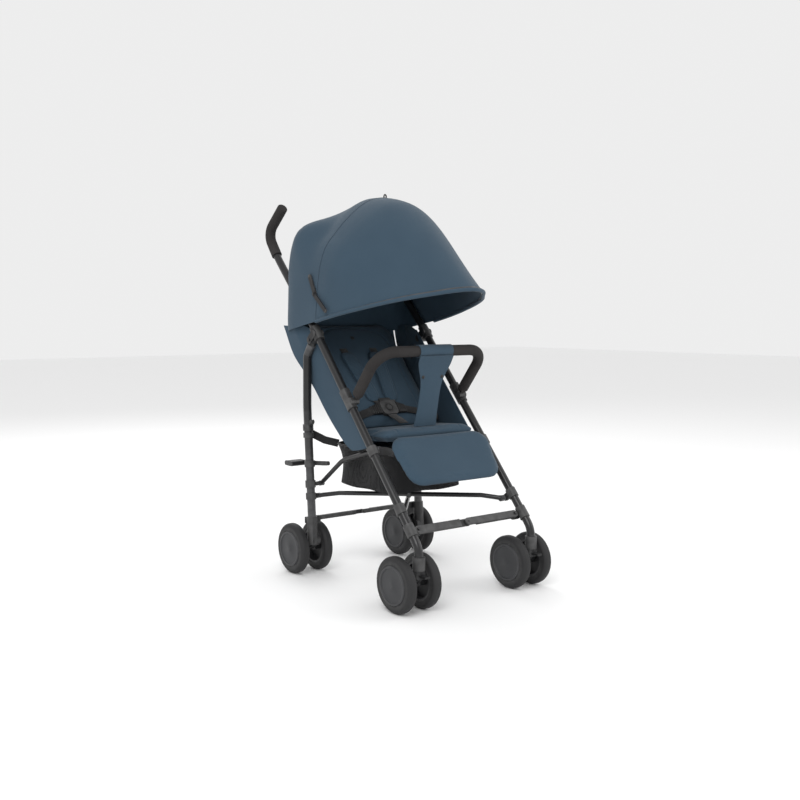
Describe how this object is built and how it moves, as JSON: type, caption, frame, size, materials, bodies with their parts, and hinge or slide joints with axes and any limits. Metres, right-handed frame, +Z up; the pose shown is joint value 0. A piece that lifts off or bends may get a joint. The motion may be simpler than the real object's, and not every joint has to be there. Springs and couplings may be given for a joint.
{
  "type": "baby stroller",
  "caption": "Umbrella-fold baby stroller with twin wheels, hooded sling seat, bumper bar, calf rest, footrest and under-seat basket.",
  "frame": {"origin": "on the floor, under the middle of the stroller's box", "axes": "+Z up; -Y is the way the stroller rolls forward; +X is the right side seen from the front"},
  "size_m": [0.4958, 0.7582, 1.078],
  "materials": {
    "frame_tube": "satin black powder coat",
    "black_plastic": "fine-textured moulded plastic",
    "foam": "closed-cell foam",
    "tyre": "smooth foamed tyre",
    "rim": "fine-textured moulded plastic",
    "seat_fabric": "plain-woven polyester, slate blue",
    "basket_mesh": "black woven mesh"
  },
  "bodies": {
    "frame_left": {"main_tube_left": "frame_tube", "handle_grip_left": "foam", "top_bracket_left": "black_plastic", "bumper_socket_left": "black_plastic", "front_brackets_left": "black_plastic", "side_panel_left": "seat_fabric", "seat_pad": "seat_fabric", "bumper_cover": "seat_fabric", "basket": "basket_mesh", "hood_rear": "seat_fabric"},
    "frame_right": {"main_tube_right": "frame_tube", "handle_grip_right": "foam", "top_bracket_right": "black_plastic", "bumper_socket_right": "black_plastic", "front_brackets_right": "black_plastic", "side_panel_right": "seat_fabric"},
    "footrest_left": {"footrest_left": "black_plastic"},
    "footrest_right": {"footrest_right": "black_plastic"},
    "backrest": {"backrest": "seat_fabric", "shoulder_pads": "seat_fabric"},
    "calf_rest": {"calf_rest": "seat_fabric"},
    "hood_front": {"hood_front": "seat_fabric"},
    "hood_middle": {"hood_middle": "seat_fabric"},
    "fold_pedal": {"fold_pedal": "black_plastic"},
    "buckle_button": {"buckle_button": "black_plastic"},
    "buckle": {"buckle": "black_plastic"},
    "leg_left": {"rear_leg_left": "frame_tube", "leg_fittings_left": "black_plastic", "rear_wheel_carrier_left": "black_plastic"},
    "cross_left": {"cross_bar_left": "frame_tube"},
    "link_left": {"side_link_left": "frame_tube"},
    "brake_bar_left": {"brake_bar_left": "black_plastic"},
    "bumper_left": {"bumper_bar_left": "foam"},
    "fork_left": {"front_fork_left": "black_plastic"},
    "hood_stay_left": {"hood_stay_left": "black_plastic"},
    "wheel_front_outer_left": {"front_outer_tyre_left": "tyre", "front_outer_rim_left": "rim"},
    "wheel_front_inner_left": {"front_inner_tyre_left": "tyre", "front_inner_rim_left": "rim"},
    "wheel_rear_outer_left": {"rear_outer_tyre_left": "tyre", "rear_outer_rim_left": "rim"},
    "wheel_rear_inner_left": {"rear_inner_tyre_left": "tyre", "rear_inner_rim_left": "rim"},
    "leg_right": {"rear_leg_right": "frame_tube", "leg_fittings_right": "black_plastic", "rear_wheel_carrier_right": "black_plastic"},
    "cross_right": {"cross_bar_right": "frame_tube"},
    "link_right": {"side_link_right": "frame_tube"},
    "brake_bar_right": {"brake_bar_right": "black_plastic"},
    "bumper_right": {"bumper_bar_right": "foam"},
    "fork_right": {"front_fork_right": "black_plastic"},
    "hood_stay_right": {"hood_stay_right": "black_plastic"},
    "wheel_front_outer_right": {"front_outer_tyre_right": "tyre", "front_outer_rim_right": "rim"},
    "wheel_front_inner_right": {"front_inner_tyre_right": "tyre", "front_inner_rim_right": "rim"},
    "wheel_rear_outer_right": {"rear_outer_tyre_right": "tyre", "rear_outer_rim_right": "rim"},
    "wheel_rear_inner_right": {"rear_inner_tyre_right": "tyre", "rear_inner_rim_right": "rim"}
  },
  "joints": [
    {"name": "frame_fold", "type": "hinge", "parent": "frame_left", "child": "footrest_left", "pos_m": [-0.168, -0.307, 0.203], "axis": [0, -0.7547, 0.6561], "range_deg": [0, 68], "deforming": ["side_panel_left", "side_panel_right", "seat_pad", "backrest", "shoulder_pads", "calf_rest", "hood_front", "hood_middle", "hood_rear", "basket", "bumper_cover"]},
    {"name": "footrest_middle", "type": "hinge", "parent": "footrest_left", "child": "footrest_right", "pos_m": [0, -0.307, 0.203], "axis": [0, -0.7547, 0.6561], "range_deg": [-136, 0]},
    {"name": "frame_close", "type": "hinge", "parent": "footrest_right", "child": "frame_right", "pos_m": [0.168, -0.307, 0.203], "axis": [0, -0.7547, 0.6561], "range_deg": [0, 68]},
    {"name": "leg_fold_left", "type": "hinge", "parent": "frame_left", "child": "leg_left", "pos_m": [-0.195, 0.1311, 0.67475], "axis": [-1, 0, 0], "range_deg": [0, 33]},
    {"name": "cross_fold_left", "type": "hinge", "parent": "frame_left", "child": "cross_left", "pos_m": [-0.172, -0.25495, 0.23903], "axis": [0.6619, -0.5513, 0.5078], "range_deg": [0, 40.42]},
    {"name": "link_fold_left", "type": "hinge", "parent": "leg_left", "child": "link_left", "pos_m": [-0.161, 0.147, 0.262], "axis": [-1, 0, 0], "range_deg": [0, 56]},
    {"name": "brake_bar_fold_left", "type": "hinge", "parent": "leg_left", "child": "brake_bar_left", "pos_m": [-0.168, 0.169, 0.157], "axis": [0, -1, 0], "range_deg": [0, 68]},
    {"name": "bumper_fold_left", "type": "hinge", "parent": "frame_left", "child": "bumper_left", "pos_m": [-0.186, -0.069, 0.529], "axis": [0, -0.7783, -0.6279], "range_deg": [0, 33.45]},
    {"name": "caster_left", "type": "hinge", "parent": "frame_left", "child": "fork_left", "pos_m": [-0.195, -0.346, 0.1115], "axis": [0, 0, 1], "continuous": true},
    {"name": "wheel_front_outer_left", "type": "hinge", "parent": "fork_left", "child": "wheel_front_outer_left", "pos_m": [-0.234, -0.3057, 0.0725], "axis": [1, 0, 0], "continuous": true},
    {"name": "wheel_front_inner_left", "type": "hinge", "parent": "fork_left", "child": "wheel_front_inner_left", "pos_m": [-0.156, -0.3057, 0.0725], "axis": [1, 0, 0], "continuous": true},
    {"name": "wheel_rear_outer_left", "type": "hinge", "parent": "leg_left", "child": "wheel_rear_outer_left", "pos_m": [-0.229, 0.1917, 0.0725], "axis": [1, 0, 0], "continuous": true},
    {"name": "wheel_rear_inner_left", "type": "hinge", "parent": "leg_left", "child": "wheel_rear_inner_left", "pos_m": [-0.151, 0.1917, 0.0725], "axis": [1, 0, 0], "continuous": true},
    {"name": "leg_fold_right", "type": "hinge", "parent": "frame_right", "child": "leg_right", "pos_m": [0.195, 0.1311, 0.67475], "axis": [-1, 0, 0], "range_deg": [0, 33]},
    {"name": "cross_fold_right", "type": "hinge", "parent": "frame_right", "child": "cross_right", "pos_m": [0.172, -0.25495, 0.23903], "axis": [0.6619, 0.5513, -0.5078], "range_deg": [0, 40.42]},
    {"name": "link_fold_right", "type": "hinge", "parent": "leg_right", "child": "link_right", "pos_m": [0.161, 0.147, 0.262], "axis": [-1, 0, 0], "range_deg": [0, 56]},
    {"name": "brake_bar_fold_right", "type": "hinge", "parent": "leg_right", "child": "brake_bar_right", "pos_m": [0.168, 0.169, 0.157], "axis": [0, 1, 0], "range_deg": [0, 68]},
    {"name": "bumper_fold_right", "type": "hinge", "parent": "frame_right", "child": "bumper_right", "pos_m": [0.186, -0.069, 0.529], "axis": [0, 0.7783, 0.6279], "range_deg": [0, 33.45]},
    {"name": "caster_right", "type": "hinge", "parent": "frame_right", "child": "fork_right", "pos_m": [0.195, -0.346, 0.1115], "axis": [0, 0, 1], "continuous": true},
    {"name": "wheel_front_outer_right", "type": "hinge", "parent": "fork_right", "child": "wheel_front_outer_right", "pos_m": [0.234, -0.3057, 0.0725], "axis": [1, 0, 0], "continuous": true},
    {"name": "wheel_front_inner_right", "type": "hinge", "parent": "fork_right", "child": "wheel_front_inner_right", "pos_m": [0.156, -0.3057, 0.0725], "axis": [1, 0, 0], "continuous": true},
    {"name": "wheel_rear_outer_right", "type": "hinge", "parent": "leg_right", "child": "wheel_rear_outer_right", "pos_m": [0.229, 0.1917, 0.0725], "axis": [1, 0, 0], "continuous": true},
    {"name": "wheel_rear_inner_right", "type": "hinge", "parent": "leg_right", "child": "wheel_rear_inner_right", "pos_m": [0.151, 0.1917, 0.0725], "axis": [1, 0, 0], "continuous": true},
    {"name": "recline", "type": "hinge", "parent": "frame_left", "child": "backrest", "pos_m": [0, 0.005, 0.425], "axis": [-1, 0, 0], "range_deg": [-16, 12]},
    {"name": "calf_lift", "type": "hinge", "parent": "frame_left", "child": "calf_rest", "pos_m": [0, -0.16903, 0.41965], "axis": [-1, 0, 0], "range_deg": [0, 48]},
    {"name": "hood_fold", "type": "hinge", "parent": "frame_left", "child": "hood_front", "pos_m": [0, 0.091, 0.727], "axis": [-1, 0, 0], "range_deg": [0, 70]},
    {"name": "hood_middle_fold", "type": "hinge", "parent": "frame_left", "child": "hood_middle", "pos_m": [0, 0.091, 0.727], "axis": [-1, 0, 0], "range_deg": [0, 35]},
    {"name": "hood_stay_fold_left", "type": "hinge", "parent": "frame_left", "child": "hood_stay_left", "pos_m": [-0.2145, 0.115, 0.85], "axis": [-1, 0, 0], "range_deg": [0, 35]},
    {"name": "hood_stay_fold_right", "type": "hinge", "parent": "frame_right", "child": "hood_stay_right", "pos_m": [0.2145, 0.115, 0.85], "axis": [-1, 0, 0], "range_deg": [0, 35]},
    {"name": "pedal_press", "type": "hinge", "parent": "leg_left", "child": "fold_pedal", "pos_m": [-0.174, 0.15564, 0.32], "axis": [-1, 0, 0], "range_deg": [0, 16], "stiffness_Nm_per_rad": 1.5},
    {"name": "buckle_carry", "type": "slide", "parent": "frame_left", "child": "buckle", "axis": [-1, 0, 0], "range_m": [0, 0.10507]},
    {"name": "buckle_press", "type": "slide", "parent": "buckle", "child": "buckle_button", "axis": [0, 0.7547, -0.6561], "range_m": [0, 0.0012], "stiffness_N_per_m": 400}
  ],
  "couplings": [
    {"joint": "footrest_middle", "follows": "frame_fold", "ratio": -2},
    {"joint": "frame_close", "follows": "frame_fold", "ratio": 1},
    {"joint": "leg_fold_left", "follows": "frame_fold", "ratio": 0.48529},
    {"joint": "cross_fold_left", "follows": "frame_fold", "ratio": 0.59436},
    {"joint": "link_fold_left", "follows": "frame_fold", "ratio": 0.82353},
    {"joint": "brake_bar_fold_left", "follows": "frame_fold", "ratio": 1},
    {"joint": "bumper_fold_left", "follows": "frame_fold", "ratio": 0.49184},
    {"joint": "leg_fold_right", "follows": "frame_fold", "ratio": 0.48529},
    {"joint": "cross_fold_right", "follows": "frame_fold", "ratio": 0.59436},
    {"joint": "link_fold_right", "follows": "frame_fold", "ratio": 0.82353},
    {"joint": "brake_bar_fold_right", "follows": "frame_fold", "ratio": 1},
    {"joint": "bumper_fold_right", "follows": "frame_fold", "ratio": 0.49184},
    {"joint": "hood_middle_fold", "follows": "hood_fold", "ratio": 0.5},
    {"joint": "hood_stay_fold_left", "follows": "hood_fold", "ratio": 0.5},
    {"joint": "hood_stay_fold_right", "follows": "hood_fold", "ratio": 0.5},
    {"joint": "buckle_carry", "follows": "frame_fold", "m_per_rad": 0.088527}
  ]
}
